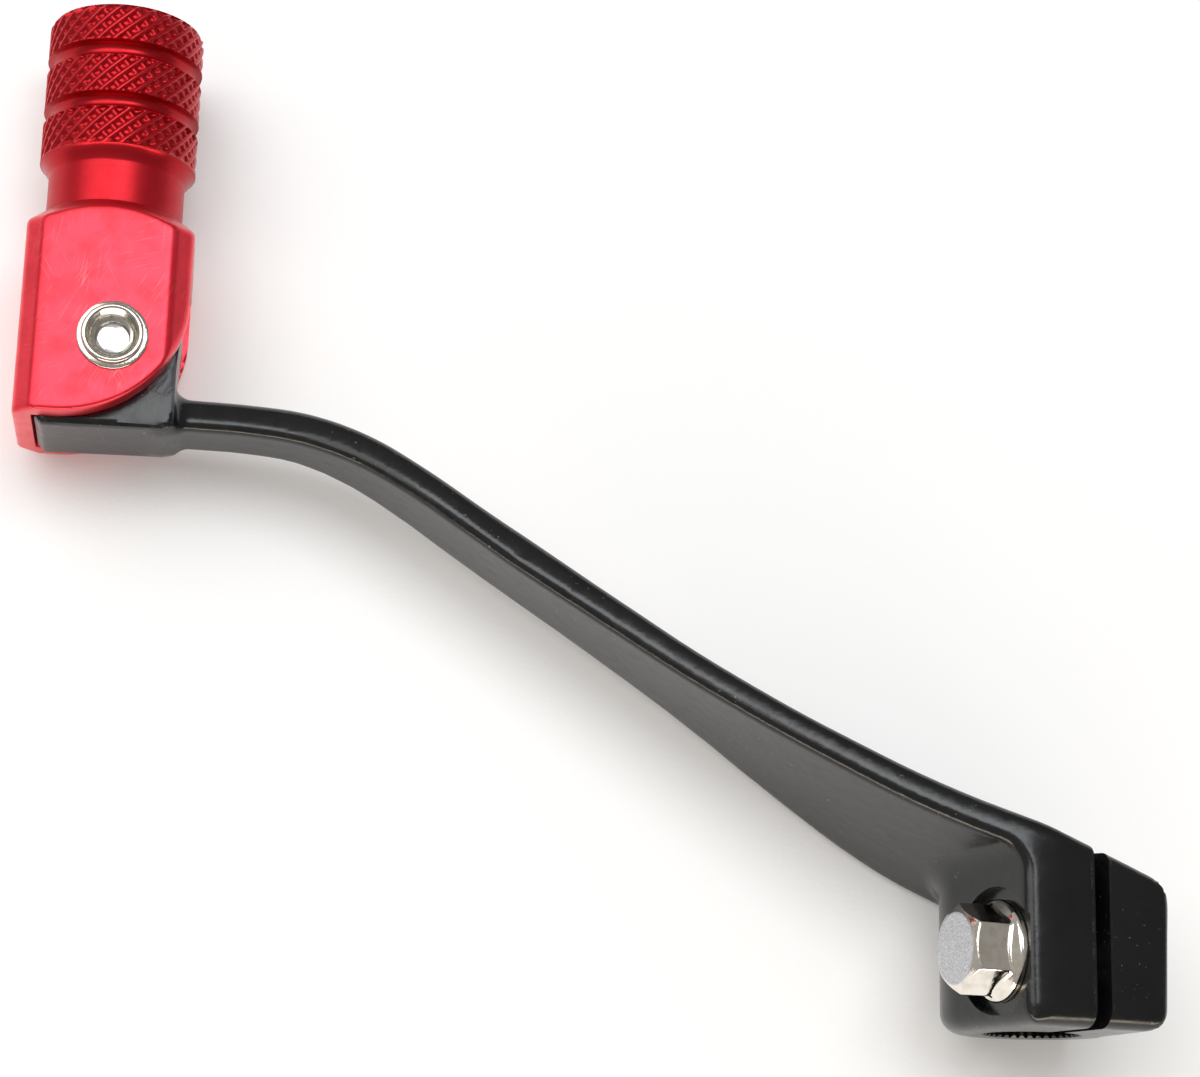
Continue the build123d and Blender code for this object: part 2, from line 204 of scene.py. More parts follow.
# ------------------------------------------------------------------ lever arm
# x and y along the lower face's front edge, thickness above it, how far that face drops towards the rear,
# and the reach to the front and to the rear
STATIONS = np.array([
    (-117.0, 61.30, 4.00, 0.0, 5.0, 5.0),
    (-111.0, 61.30, 4.00, 0.0, 5.0, 5.0),
    (-105.0, 61.20, 4.00, 0.0, 5.0, 5.0),
    (-98.0, 60.42, 4.15, 0.0, 5.2, 5.2),
    (-91.0, 58.10, 4.10, 0.0, 6.1, 6.1),
    (-84.0, 54.35, 3.90, 0.0, 7.0, 7.0),
    (-77.0, 49.85, 3.90, 0.0, 7.5, 7.5),
    (-70.0, 45.30, 4.10, 0.0, 7.6, 7.6),
    (-63.0, 41.00, 3.90, 0.0, 8.1, 8.1),
    (-56.0, 36.65, 3.75, 0.0, 8.8, 8.8),
    (-49.0, 32.25, 3.60, 0.05, 9.8, 9.5),
    (-42.0, 28.10, 3.50, 0.6, 11.1, 10.0),
    (-35.0, 24.10, 3.45, 1.5, 12.7, 10.5),
    (-28.0, 20.35, 3.50, 2.5, 14.3, 11.0),
    (-21.0, 16.80, 3.55, 3.5, 15.8, 11.3),
    (-14.0, 13.75, 3.55, 4.4, 17.2, 11.5),
    (-7.0, 11.10, 3.55, 4.9, 18.6, 11.6),
    (0.0, 8.50, 3.55, 5.0, 20.1, 11.6),
    (8.0, 5.45, 3.60, 5.0, 21.8, 11.6),
    (20.0, 0.85, 3.60, 5.0, 24.3, 11.6),
])


def smooth_rows(rows, steps):
    # non-uniform cubic through the stations
    x = rows[:, 0]
    slope = np.gradient(rows, x, axis=0, edge_order=1)
    fine = np.linspace(x[0], x[-1], steps)
    i = np.clip(np.searchsorted(x, fine, side="right") - 1, 0, len(x) - 2)
    h = (x[i + 1] - x[i])[:, None]
    t = ((fine - x[i]) / (x[i + 1] - x[i]))[:, None]
    return (rows[i] * (2 * t ** 3 - 3 * t ** 2 + 1) + slope[i] * h * (t ** 3 - 2 * t ** 2 + t)
            + rows[i + 1] * (3 * t ** 2 - 2 * t ** 3) + slope[i + 1] * h * (t ** 3 - t ** 2))


PATH = smooth_rows(STATIONS, 600)
STEP = np.gradient(PATH[:, :2], axis=0)
LENGTH = np.concatenate([[0], np.cumsum(np.hypot(*np.diff(PATH[:, :2], axis=0).T))])
TANGENT = STEP / np.hypot(*STEP.T)[:, None]

TURN = math.radians(13)
SX, SZ = math.sin(TURN), math.cos(TURN)
PIVOT = (-122.6, 71.06)
BOSS_R, BOSS_FRONT, BOSS_LOW = 11.7, 17.3, -11.0
ARM_END = -116.5
TONGUE_HALF = 7.0
CAM_REACH, CAM_RISE = 9.6, 1.4      # pivot to the centre of the plunger's nose at rest, and growth per radian
FOLLOWER = 2                        # radius of the plunger's nose


def tangent_normal(u, v):
    # outward normal, and its angle, of the line from (u, v) that touches the boss
    reach = math.hypot(u, v)
    angle = math.atan2(v, u) + math.copysign(math.acos(BOSS_R / reach), v)
    return math.cos(angle), math.sin(angle), angle


BOLT_SIDE = tangent_normal(BOSS_FRONT, -10.4)
FAR_SIDE = tangent_normal(BOSS_FRONT, 10.15)


def cam_outline():
    # the tongue seen along Z: the cam, the side that joins the arm, the underside and the free end
    rows = []
    for degrees in range(-12, 71, 4):
        fold = math.radians(degrees)
        reach = CAM_REACH + CAM_RISE * fold
        angle = math.pi / 2 - fold
        normal = angle + math.atan(CAM_RISE / reach)
        rows.append((reach * math.cos(angle) - FOLLOWER * math.cos(normal),
                     reach * math.sin(angle) - FOLLOWER * math.sin(normal)))
    rows += [(8.2, -2.06), (8.2, -10.4), (6.9, -10.75), (-8.2, -11.12), (-9.1, -10.3), (-9.1, 1.5)]
    for degrees in range(165, 105, -8):
        radius = 9.2 - 1.9 * (165 - degrees) / 60
        rows.append((radius * math.cos(math.radians(degrees)), radius * math.sin(math.radians(degrees))))
    return np.array(rows) + PIVOT


TONGUE = cam_outline()


def polygon_distance(x, y, corners):
    # distance to a closed outline, negative inside
    best = np.full(x.shape, 1e9)
    inside = np.zeros(x.shape, bool)
    for a, b in zip(corners, np.roll(corners, -1, 0)):
        edge = b - a
        t = np.clip(((x - a[0]) * edge[0] + (y - a[1]) * edge[1]) / (edge @ edge), 0, 1)
        best = np.minimum(best, (x - a[0] - t * edge[0]) ** 2 + (y - a[1] - t * edge[1]) ** 2)
        cross = (a[1] > y) != (b[1] > y)
        inside ^= cross & (x < (b[0] - a[0]) * (y - a[1]) / (b[1] - a[1] + 1e-12) + a[0])
    return np.where(inside, -1, 1) * np.sqrt(best)


def arm_field(x, y, z):
    s = np.interp(x, PATH[:, 0], LENGTH)
    for _ in range(4):
        px, py = np.interp(s, LENGTH, PATH[:, 0]), np.interp(s, LENGTH, PATH[:, 1])
        tx, ty = np.interp(s, LENGTH, TANGENT[:, 0]), np.interp(s, LENGTH, TANGENT[:, 1])
        s = np.clip(s + (x - px) * tx + (y - py) * ty, 0, LENGTH[-1])
    n = (y - py) * tx - (x - px) * ty
    thick, drop = [np.interp(s, LENGTH, PATH[:, i]) for i in (2, 3)]
    front, rear = [np.interp(x, PATH[:, 0], PATH[:, i]) + 0.2 for i in (4, 5)]
    top = n - thick - 0.25
    lean = drop / (front + rear)
    low = (-n - 0.27 - lean * (front - z)) / np.sqrt(1 + lean * lean)
    u = x * SX + z * SZ
    v = x * SZ - z * SX
    arm = smax(smax(low, -rear - z, 1.1), smax(ARM_END - x, x - 1.0, 0.5), 0.5)
    angle = np.arctan2(v, u)
    round_back = (angle < BOLT_SIDE[2]) | (angle > FAR_SIDE[2])
    far = u * FAR_SIDE[0] + v * FAR_SIDE[1] - BOSS_R
    far = far + 0.04 * np.clip(4.0 - y, 0, 15)
    near_side = u * BOLT_SIDE[0] + v * BOLT_SIDE[1] - BOSS_R
    sides = np.where(round_back, np.hypot(u, v) - BOSS_R, np.where(v < 0, near_side, far))
    boss = smax(sides, BOSS_LOW - y, 2.6)
    body = smin(arm, boss, 2.4)
    crown = 0.032 * np.maximum(n + 2.0, 0) ** 2
    face = smax(z - front + crown, u - BOSS_FRONT, 1.6)
    d = smax(smax(body, top, 1.15), face, 1.3)
    d = np.maximum(d, smax(BOSS_LOW - y, face, 2.6))
    d = np.maximum(d, smax(top, face, 1.25))
    d = np.maximum(d, smax(top, far, 3.2))
    d = smax(d, -11.8 - z, 1.0)
    near = x < -100
    if near.any():
        block = smax(polygon_distance(x[near], y[near], TONGUE), np.abs(z[near]) - TONGUE_HALF, 0.7)
        d[near] = smin(d[near], block, 2.2)
    return d


arm = surface(arm_field, (-133, -12.5, -13), (14.5, 81, 21), 0.5, "arm")

# directions along the clamp's slit, across it, and from the bolt's seat out to its head
SLIT = (SX, 0, SZ)
AWAY = (SZ, 0, -SX)
BOLT = (-SZ, 0, SX)
BOLT_REACH, BOLT_LEVEL = 9.6, -1.6
BOLT_SEAT, BOLT_TOP = 10.0, 16.9
SHAFT_R, SERRATIONS, SERRATION_DEPTH = 6.0, 36, 0.5
SLIT_HALF = 1.05


def across_bolt(distance):
    # point on the bolt's axis, at a distance from the slit's middle
    return (SX * BOLT_REACH - SZ * distance, BOLT_LEVEL, SZ * BOLT_REACH + SX * distance)


def cylinder(radius, low, high, origin, z_dir, around=64):
    x_dir = AXIS_X if abs(z_dir[0]) < 0.5 else AXIS_Y
    return place(lathe("cutter", [(radius, low), (radius, high)], around), origin, x_dir, z_dir)


def splines():
    # bore with V serrations, drawn as a star outline
    each = 8
    around = SERRATIONS * each
    points = []
    for h in (-13, 16):
        for i in range(around):
            part = (i % each) / each
            depth = max(0.0, 1 - abs(part - 0.5) / 0.3) * SERRATION_DEPTH
            a = i * 2 * math.pi / around
            points.append(((SHAFT_R + depth) * math.cos(a), (SHAFT_R + depth) * math.sin(a), h))
    return place(mesh_object("cutter", points, skin(2, around)), (0, 0, 0), SLIT, AXIS_Y)


def slit_box():
    points = [(u, v, h) for u in (3, 26) for v in (-SLIT_HALF, SLIT_HALF) for h in (-15, 20)]
    faces = [(0, 1, 3, 2), (4, 6, 7, 5), (0, 4, 5, 1), (2, 3, 7, 6), (0, 2, 6, 4), (1, 5, 7, 3)]
    return place(mesh_object("cutter", points, faces), (0, 0, 0), SLIT, AXIS_Y)


cut(arm, splines())
cut(arm, slit_box())
# the bore's chamfer, the bolt's clearance and tapped holes, and the flat seat under its head
chamfer = lathe("cutter", [(SHAFT_R, -1.0), (7.3, -1.0), (5.3, 1.0)], 96)
cut(arm, place(chamfer, (0, -11, 0), AXIS_X, AXIS_Y))
cut(arm, cylinder(3.1, 0, 12, across_bolt(0), BOLT))
cut(arm, cylinder(3.03, -30, 1, across_bolt(0), BOLT))
cut(arm, cylinder(8.0, 0, 14, across_bolt(BOLT_SEAT), BOLT, 96))
# the bush's bore, then on each cheek the thrust washer's recess and the seal's groove
centre = (*PIVOT, 0)
cut(arm, cylinder(4.0, -9, 9, centre, AXIS_Z, 96))
for side in (1, -1):
    cut(arm, cylinder(5.6, 6.55, 9, centre, (0, 0, side), 96))
    ring = lathe("cutter", [(5.5, 6.15), (6.7, 6.15), (6.7, 9), (5.5, 9)], 96, closed=True)
    cut(arm, place(ring, centre, AXIS_X, (0, 0, side)))
finish_mesh(arm, "arm_forging", "lever_arm", "lever", 30)


# ------------------------------------------------------------------ toe tip
PEG_X = -123.9
CLEVIS_BACK, CLEVIS_FRONT, CLEVIS_LOW = -134.5, -113.2, 60.8
CLEVIS_MIDDLE, CLEVIS_REACH, CLEVIS_HALF = -123.85, 10.65, 10.5
CLEVIS_BEVEL = 2.5
NECK_SLOPE = 0.78
SLOT_BACK, SLOT_TOP, SLOT_HALF = -131.95, 82.0, 7.2


def clevis_field(x, y, z):
    outline = smax(x - CLEVIS_FRONT, CLEVIS_LOW - y, 16.2)
    outline = smax(outline, CLEVIS_BACK - x, 0.5)
    thick = np.abs(z) - CLEVIS_HALF
    bevel = (np.abs(x - CLEVIS_MIDDLE) + np.abs(z) - CLEVIS_REACH - CLEVIS_HALF + CLEVIS_BEVEL) / math.sqrt(2)
    radius = np.hypot(x - PEG_X, z)
    cone = (y - 88.6 + (radius - CLEVIS_HALF) * NECK_SLOPE) / math.hypot(1, NECK_SLOPE)
    d = smax(smax(outline, thick, 0.45), bevel, 0.5)
    d = smax(d, cone, 0.45)
    d = np.maximum(d, y - 91)
    slot = np.maximum(np.maximum(SLOT_BACK - x, y - SLOT_TOP), np.abs(z) - SLOT_HALF)
    return smax(d, -slot, 0.3)


KNURL_TEETH = 29
KNURL_RISE = 2.02       # millimetres up the peg per tooth
LANDS, LAND_LOW, LAND_PITCH, LAND_LENGTH = 3, 97.25, 7.25, 5.05
LAND_R, LAND_ROWS = 10.15, 38
GROOVE_R, GROOVE_DEPTH, GROOVE_WIDTH, GROOVE_ROWS = 10.08, 1.35, 2.2, 11
NECK_R, PEG_END = 8.85, 116.9


def knurl_rows():
    # (radius, height, knurl share) along the peg from the neck to its free end, which has a chamfer
    rows = [(NECK_R, 86.0, 0), (NECK_R, 88.0, 0), (NECK_R, 95.3, 0)]
    rows += [(8.93, 95.6, 0), (9.8, 96.95, 0), (GROOVE_R, 97.2, 0)]
    run_in, run_out, chamfer = 0.5, 0.08, 0.6
    for land in range(LANDS):
        low = LAND_LOW + land * LAND_PITCH
        high = low + LAND_LENGTH
        last = land == LANDS - 1
        for i in range(LAND_ROWS + 1):
            y = low + (high - low) * i / LAND_ROWS
            share = min(1.0, (y - low) / (run_in if land == 0 else run_out), (high - y) / run_out)
            top = 0.0
            if last and high - y < chamfer:
                top = chamfer - (high - y)
            rows.append((LAND_R - 0.75 * top, y, share))
        if not last:
            for i in range(1, GROOVE_ROWS):
                a = math.pi * i / GROOVE_ROWS
                rows.append((GROOVE_R - GROOVE_DEPTH * math.sin(a) ** 0.8,
                             high + GROOVE_WIDTH * (1 - math.cos(a)) / 2, 0))
    rows += [(9.45, 116.86, 0), (9.05, PEG_END, 0), (5.0, PEG_END, 0), (1.0, PEG_END, 0)]
    return rows


def peg():
    # bold ridges up to the right, lower ones up to the left, and square pits between them
    around = KNURL_TEETH * 16
    rows = knurl_rows()
    turn = np.arange(around) / around
    points = []
    for radius, y, share in rows:
        r = np.full(around, radius)
        if share:
            bold, low = [np.abs(phase - np.round(phase)) * 2 for phase in
                         (turn * KNURL_TEETH - y / KNURL_RISE, turn * KNURL_TEETH + y / KNURL_RISE)]
            depth = np.minimum(np.clip((bold - 0.2) / 0.42, 0, 1),
                               0.45 + 0.55 * np.clip((low - 0.2) / 0.45, 0, 1))
            r = radius - 0.02 - 0.46 * share * depth
        angle = turn * 2 * math.pi
        points.append(np.stack([PEG_X + r * np.sin(angle), np.full(around, y), r * np.cos(angle)], 1))
    return mesh_object("peg", np.concatenate(points), skin(len(rows), around))


tip = surface(clevis_field, (-135.5, 59.5, -11.5), (-112.5, 92, 11.5), 0.36, "tip")
combine(tip, peg(), "UNION")
# the detent's bore, then the rivet's hole
cut(tip, cylinder(3.5, 80, 106, (PIVOT[0], 0, 0), AXIS_Y))
cut(tip, cylinder(3.2, -12, 12, centre, AXIS_Z))
finish_mesh(tip, "toe_clevis_and_peg", "toe_tip", "tip", 40)


# ------------------------------------------------------------------ clamp bolt
def bolt_field(x, y, z):
    # local axis z, seat at 0
    radius = np.hypot(x, y)
    sides = [x * math.cos(a) + y * math.sin(a) - 5.0 for a in np.arange(6) * math.pi / 3]
    hexagon = sides[0]
    for side in sides[1:]:
        hexagon = smax(hexagon, side, 0.25)
    crown = (z - 6.75 + np.maximum(radius - 4.35, 0) * 0.58) / 1.12
    dome = z - 6.9 + radius * radius * 0.006
    head = smax(smax(hexagon, crown, 0.12), dome, 0.15)
    head = np.maximum(head, -z)
    flange = smax(radius - 6.45, (z - 1.0 + (radius - 6.4) * 0.62) / 1.17, 0.3)
    flange = smax(flange, -z, 0.15)
    return smin(head, flange, 0.35)


bolt = surface(bolt_field, (-7, -7, -0.5), (7, 7, 7.5), 0.14, "bolt")
place(bolt, across_bolt(BOLT_SEAT), SLIT, BOLT)
shank = [(3.0, 1.0), (3.0, -19.5), (2.2, -20.4)]
combine(bolt, place(lathe("cutter", shank[::-1], 48), across_bolt(BOLT_SEAT), SLIT, BOLT), "UNION")
finish_mesh(bolt, "flange_bolt", "clamp_bolt", "lever", 35)


# ------------------------------------------------------------------ rivet and its washer
def arc(cx, cy, radius, start, end, count):
    # points of an arc between two angles in degrees
    turn = np.radians(np.linspace(start, end, count))
    return [(cx + radius * math.cos(a), cy + radius * math.sin(a)) for a in turn]


def uneven(obj, low, high, amount, seed):
    # draws the rim in a little, by a share that varies around it, the way a rolled edge ends up
    data = np.empty(len(obj.data.vertices) * 3)
    obj.data.vertices.foreach_get("co", data)
    p = data.reshape(-1, 3)
    dx, dy = p[:, 0] - PIVOT[0] * MM, p[:, 1] - PIVOT[1] * MM
    radius = np.hypot(dx, dy)
    angle = np.arctan2(dy, dx)
    rng = np.random.default_rng(seed)
    wave = sum(rng.normal() / k * np.cos(k * angle + rng.uniform(0, 6.28)) for k in range(2, 12))
    share = np.clip((radius / MM - low) / (high - low), 0, 1)
    scale = 1 - np.abs(wave) * share * amount * MM / np.maximum(radius, 1e-6)
    p[:, 0] = PIVOT[0] * MM + dx * scale
    p[:, 1] = PIVOT[1] * MM + dy * scale
    obj.data.vertices.foreach_set("co", p.ravel())
    obj.data.update()


# the factory head, the shank, the rolled rim and the hollow inside it
rim = [(0.001, -12.1), (4.1, -12.1)] + arc(4.3, -11.2, 0.9, -90, 0, 8) + [(5.2, -10.52)]
rim += [(3.2, -10.5), (3.2, 10.6)]
rim += [(3.2, 11.0), (3.86, 11.0)] + arc(3.55, 11.33, 0.42, -50, 120, 12) + [(3.18, 11.42), (2.98, 11.2)]
rim += [(2.7, 10.85), (2.6, 10.7), (2.55, 10.55), (2.32, 10.45), (2.24, 10.2), (2.2, 9.4), (2.1, 9.1)]
rim += [(1.86, 8.95), (1.0, 9.0), (0.001, 9.02)]
pin = place(lathe("pin", rim, 128), centre, AXIS_X, AXIS_Z)
uneven(pin, 3.5, 3.95, 0.05, 4)
finish_mesh(pin, "tubular_rivet", "pivot_pin", "tip", 38)

plate = [(3.22, 10.5), (4.5, 10.5)] + arc(4.35, 10.68, 0.2, -40, 80, 6) + [(4.1, 10.97), (3.22, 11.0)]
washer = place(lathe("washer", plate, 160, closed=True), centre, AXIS_X, AXIS_Z)
uneven(washer, 4.0, 4.6, 0.12, 7)
finish_mesh(washer, "rivet_rim_washer", "rivet_washer", "tip", 38)


# ------------------------------------------------------------------ detent spring
def coil(wire, radius, low, high, turns, closed):
    # compression spring about local +Z, with this many turns closed up at each end
    steps, around, end_pitch = 36 * turns, 14, 0.31
    share = np.linspace(0, 1, steps + 1)
    pitch = np.where((share < closed / turns) | (share > 1 - closed / turns), end_pitch, 1.0)
    rise = np.concatenate([[0], np.cumsum((pitch[1:] + pitch[:-1]) / 2)])
    height = low + wire / 2 + (high - low - wire) * rise / rise[-1]
    angle = share * turns * 2 * math.pi
    ring = np.arange(around) * 2 * math.pi / around
    out, up = wire / 2 * np.cos(ring), wire / 2 * np.sin(ring)
    points = [((radius + o) * math.cos(a), (radius + o) * math.sin(a), h + u)
              for a, h in zip(angle, height) for o, u in zip(out, up)]
    return mesh_object("coil", points, skin(steps + 1, around, flip=True))


SPRING_SEAT, SPRING_TOP = 87.70, 105.98
spring = place(coil(0.8, 2.6, SPRING_SEAT, SPRING_TOP, 8, 1.0), (PIVOT[0], 0, 0), AXIS_X, AXIS_Y)
finish_mesh(spring, "coil_spring", "detent_spring", "tip", 50)


# ------------------------------------------------------------------ materials
# input sockets of a Mix node, factor first, for numbers and for colours; and the colour result
MIX_NUMBER, MIX_COLOR, COLOR_RESULT = (0, 2, 3), (0, 6, 7), 2


class Paint:
    # a node material; positions are the piece's own, in millimetres
    def __init__(self, name):
        self.mat = bpy.data.materials.new(name)
        self.mat.use_nodes = True
        self.tree = self.mat.node_tree
        self.shader = self.tree.nodes["Principled BSDF"]
        self.at = self.vector("MULTIPLY", self.node("TexCoord").outputs["Object"], (1000, 1000, 1000))
        self.normal = None

    def feed(self, socket, value):
        if isinstance(value, bpy.types.NodeSocket):
            self.tree.links.new(value, socket)
        else:
            socket.default_value = value

    def node(self, kind, settings=None, **inputs):
        made = self.tree.nodes.new("ShaderNode" + kind)
        for key, value in (settings or {}).items():
            setattr(made, key, value)
        for key, value in inputs.items():
            self.feed(made.inputs[key.replace("_", " ")], value)
        return made

    def math(self, operation, *values):
        made = self.node("Math", {"operation": operation})
        for socket, value in zip(made.inputs, values):
            self.feed(socket, value)
        return made.outputs[0]

    def vector(self, operation, *values):
        made = self.node("VectorMath", {"operation": operation})
        for socket, value in zip(made.inputs, values):
            self.feed(socket, value)
        return made.outputs["Value" if operation in ("DOT_PRODUCT", "LENGTH") else "Vector"]

    def along(self, direction, origin=(0, 0, 0)):
        # distance from origin along a direction
        return self.vector("DOT_PRODUCT", self.vector("SUBTRACT", self.at, tuple(origin)), tuple(direction))

    def off_axis(self, direction, origin):
        # distance from the axis through origin
        flat = [1 - abs(c) for c in direction]
        offset = self.vector("SUBTRACT", self.at, tuple(origin))
        return self.vector("LENGTH", self.vector("MULTIPLY", offset, flat))

    def stretched(self, x_dir, y_dir, z_dir, scale):
        made = self.node("CombineXYZ")
        for socket, direction, size in zip(made.inputs, (x_dir, y_dir, z_dir), scale):
            self.feed(socket, self.math("MULTIPLY", self.along(direction), size))
        return made.outputs[0]

    def noise(self, scale, detail=2.0, rough=0.5, at=None, twist=0.0):
        made = self.node("TexNoise", Vector=at or self.at, Scale=scale, Detail=detail, Roughness=rough,
                         Distortion=twist)
        return made.outputs["Fac"]

    def ease(self, value, low, high, to_low=0.0, to_high=1.0):
        # smooth step of value between low and high
        made = self.node("MapRange", {"interpolation_type": "SMOOTHSTEP"}, Value=value)
        for key, number in (("From Min", low), ("From Max", high), ("To Min", to_low), ("To Max", to_high)):
            made.inputs[key].default_value = number
        return made.outputs[0]

    def both(self, *values):
        # product of shares
        result = values[0]
        for value in values[1:]:
            result = self.math("MULTIPLY", result, value)
        return result

    def mix(self, share, a, b):
        made = self.node("Mix", {"data_type": "RGBA"})
        for index, value in zip(MIX_COLOR, (share, a, b)):
            if isinstance(value, tuple):
                value = (*value, 1)
            self.feed(made.inputs[index], value)
        return made.outputs[COLOR_RESULT]

    def mix_number(self, share, a, b):
        made = self.node("Mix", {"data_type": "FLOAT"})
        for index, value in zip(MIX_NUMBER, (share, a, b)):
            self.feed(made.inputs[index], value)
        return made.outputs[0]

    def edge(self, low, high):
        # share from the mesh's own curvature, per millimetre: for wear, for a painted highlight on edges and
        # for painted shade in hollows
        return self.ease(self.node("Attribute", {"attribute_name": "edge"}).outputs["Fac"], low, high)

    def bump(self, height, millimetres):
        made = self.node("Bump", Height=height, Distance=millimetres * MM, Strength=1.0)
        if self.normal:
            self.feed(made.inputs["Normal"], self.normal)
        self.normal = made.outputs[0]

    def hairs(self, seed, degrees, low, high):
        # fine, slightly wandering scratches that run at an angle in the XY plane
        a = math.radians(degrees)
        u, v = (math.cos(a), math.sin(a), 0.3), (-math.sin(a), math.cos(a), 0.45)
        at = self.stretched(u, v, (0.2, 0.1, 1), (0.16, 12.0, 0.4))
        wander = self.node("TexNoise", Vector=self.at, Scale=0.10).outputs["Color"]
        at = self.vector("ADD", at, self.vector("MULTIPLY", wander, (0.0, 9.0, 0.0)))
        at = self.vector("ADD", at, (seed * 13.7, seed * 5.1, seed * 3.3))
        return self.ease(self.noise(1.0, 1.0, 0.4, at), low, high)

    def done(self, color, rough, metal=0.0, **fixed):
        for key, value in (("Base Color", color), ("Roughness", rough), ("Metallic", metal)):
            if isinstance(value, tuple):
                value = (*value, 1)
            self.feed(self.shader.inputs[key], value)
        for key, value in fixed.items():
            self.shader.inputs[key.replace("_", " ")].default_value = value
        if self.normal:
            self.feed(self.shader.inputs["Normal"], self.normal)
        return self.mat


def mark_edges(obj):
    # stores each vertex's mean curvature: positive on outer edges, negative in corners
    mesh = obj.data
    count = len(mesh.vertices)
    co = np.empty(count * 3)
    mesh.vertices.foreach_get("co", co)
    co = co.reshape(-1, 3) / MM
    normal = np.empty(count * 3)
    mesh.vertex_normals.foreach_get("vector", normal)
    normal = normal.reshape(-1, 3)
    pairs = np.empty(len(mesh.edges) * 2, np.int64)
    mesh.edges.foreach_get("vertices", pairs)
    a, b = pairs.reshape(-1, 2).T
    gap = co[b] - co[a]
    bend = ((normal[b] - normal[a]) * gap).sum(1) / np.maximum((gap * gap).sum(1), 0.01)
    total, hits = np.zeros(count), np.zeros(count)
    for end in (a, b):
        np.add.at(total, end, bend)
        np.add.at(hits, end, 1)
    value = total / np.maximum(hits, 1)
    for _ in range(2):
        total = np.zeros(count)
        np.add.at(total, a, value[b])
        np.add.at(total, b, value[a])
        value = 0.5 * value + 0.5 * total / np.maximum(hits, 1)
    mesh.attributes.new("edge", "FLOAT", "POINT").data.foreach_set("value", value.astype(np.float32))


def satin_black():
    p = Paint("satin_black")
    broad, fine = p.noise(0.12, 3), p.noise(2.6, 3, 0.6)
    color = p.mix(p.ease(broad, 0.35, 0.65), (0.0036, 0.0040, 0.0045), (0.0062, 0.0064, 0.0067))
    patch = p.ease(p.noise(0.55, 4, 0.65), 0.42, 0.75)
    rub = p.both(p.edge(0.3, 0.75), p.ease(p.noise(0.9, 4, 0.7), 0.46, 0.62), 0.5)
    rub = p.both(rub, p.ease(p.math("ABSOLUTE", p.along(AWAY)), 1.1, 1.5))
    color = p.mix(rub, color, (0.045, 0.045, 0.046))
    dust = p.both(p.ease(p.noise(2.3, 0), 0.80, 0.83), p.ease(p.noise(0.07, 1), 0.45, 0.6), 0.5)
    color = p.mix(dust, color, (0.22, 0.22, 0.22))
    # bare-milled cheeks of the tongue, with short diagonal strokes
    cheek = p.both(p.ease(p.math("ABSOLUTE", p.along(AXIS_Z)), 6.75, 6.95),
                   p.ease(p.along(AXIS_X), -113.9, -114.5))
    cheek = p.both(cheek, p.ease(p.along((0.35, 0.94, 0)), 20.0, 20.6))
    diagonal = p.stretched((0.6, 0.8, 0), (-0.8, 0.6, 0), AXIS_Z, (0.5, 2.6, 0.2))
    strokes = p.noise(1.0, 2, 0.6, diagonal, 0.6)
    color = p.mix(p.both(cheek, p.ease(strokes, 0.35, 0.7)), color, (0.050, 0.054, 0.070))
    rough = p.mix_number(patch, 0.19, 0.27)
    rough = p.mix_number(p.both(rub, 1.6), rough, 0.36)
    rough = p.mix_number(p.both(cheek, 0.8), rough, p.ease(strokes, 0.3, 0.7, 0.40, 0.26))
    p.bump(broad, 0.08)
    p.bump(p.noise(0.55, 3), 0.030)
    p.bump(fine, 0.008)
    p.bump(p.both(cheek, strokes), 0.06)
    return p.done(color, rough, IOR=1.45)


def red_anodised():
    p = Paint("red_anodised")
    blot = p.ease(p.noise(0.28, 4, 0.6), 0.4, 0.72)
    color = p.mix(blot, (0.80, 0.022, 0.044), (0.70, 0.013, 0.028))
    # lighter on the outer edges: partly wear, partly a painted highlight along them
    color = p.mix(p.both(p.edge(0.5, 1.8), 0.4), color, (0.92, 0.13, 0.17))
    # painted shade: darker in the pits between the knurls and in the other hollows
    color = p.mix(p.both(p.edge(-0.1, -1.2), 0.75), color, (0.20, 0.002, 0.004))
    # the peg is turned and darker than the block; its lands are darker and glossier than its neck
    lathe_share = p.ease(p.along(AXIS_Y), 87.5, 88.6)
    block_share = p.math("SUBTRACT", 1.0, p.both(lathe_share, 0.85))
    scratch = 0.0
    for seed, degrees, low, amount in (
            (1, 62, 0.69, 0.20), (2, 118, 0.70, 0.16), (3, 20, 0.70, 0.14), (4, 84, 0.70, 0.18)):
        line = p.both(p.hairs(seed, degrees, low, low + 0.03), amount)
        here = p.noise(0.14, 2, 0.5, p.vector("ADD", p.at, (seed * 31, 0, 7)))
        line = p.both(line, p.ease(here, 0.48, 0.62))
        scratch = p.math("MAXIMUM", scratch, line)
    scratch = p.both(scratch, block_share)
    color = p.mix(scratch, color, (0.95, 0.42, 0.46))
    rings = p.noise(1.0, 3, 0.6, p.stretched(AXIS_X, AXIS_Y, AXIS_Z, (0.02, 9.0, 0.02)))
    grain = p.noise(6.0, 3, 0.65)
    land_share = p.ease(p.along(AXIS_Y), 95.0, 96.5)
    color = p.mix(p.both(lathe_share, p.mix_number(land_share, 0.72, 0.88)), color, (0.40, 0.004, 0.009))
    turned = p.mix_number(land_share, p.ease(rings, 0.3, 0.7, 0.38, 0.46), p.ease(rings, 0.3, 0.7, 0.26, 0.33))
    rough = p.mix_number(blot, 0.30, 0.37)
    rough = p.mix_number(p.both(lathe_share, 0.9), rough, turned)
    p.bump(p.noise(0.5, 2), 0.02)
    p.bump(grain, 0.005)
    p.bump(p.both(lathe_share, rings), 0.0015)
    p.bump(scratch, -0.01)
    p.feed(p.shader.inputs["Coat Weight"], p.both(block_share, 0.32))
    return p.done(color, rough, 0.8, IOR=1.5, Coat_Roughness=0.32)


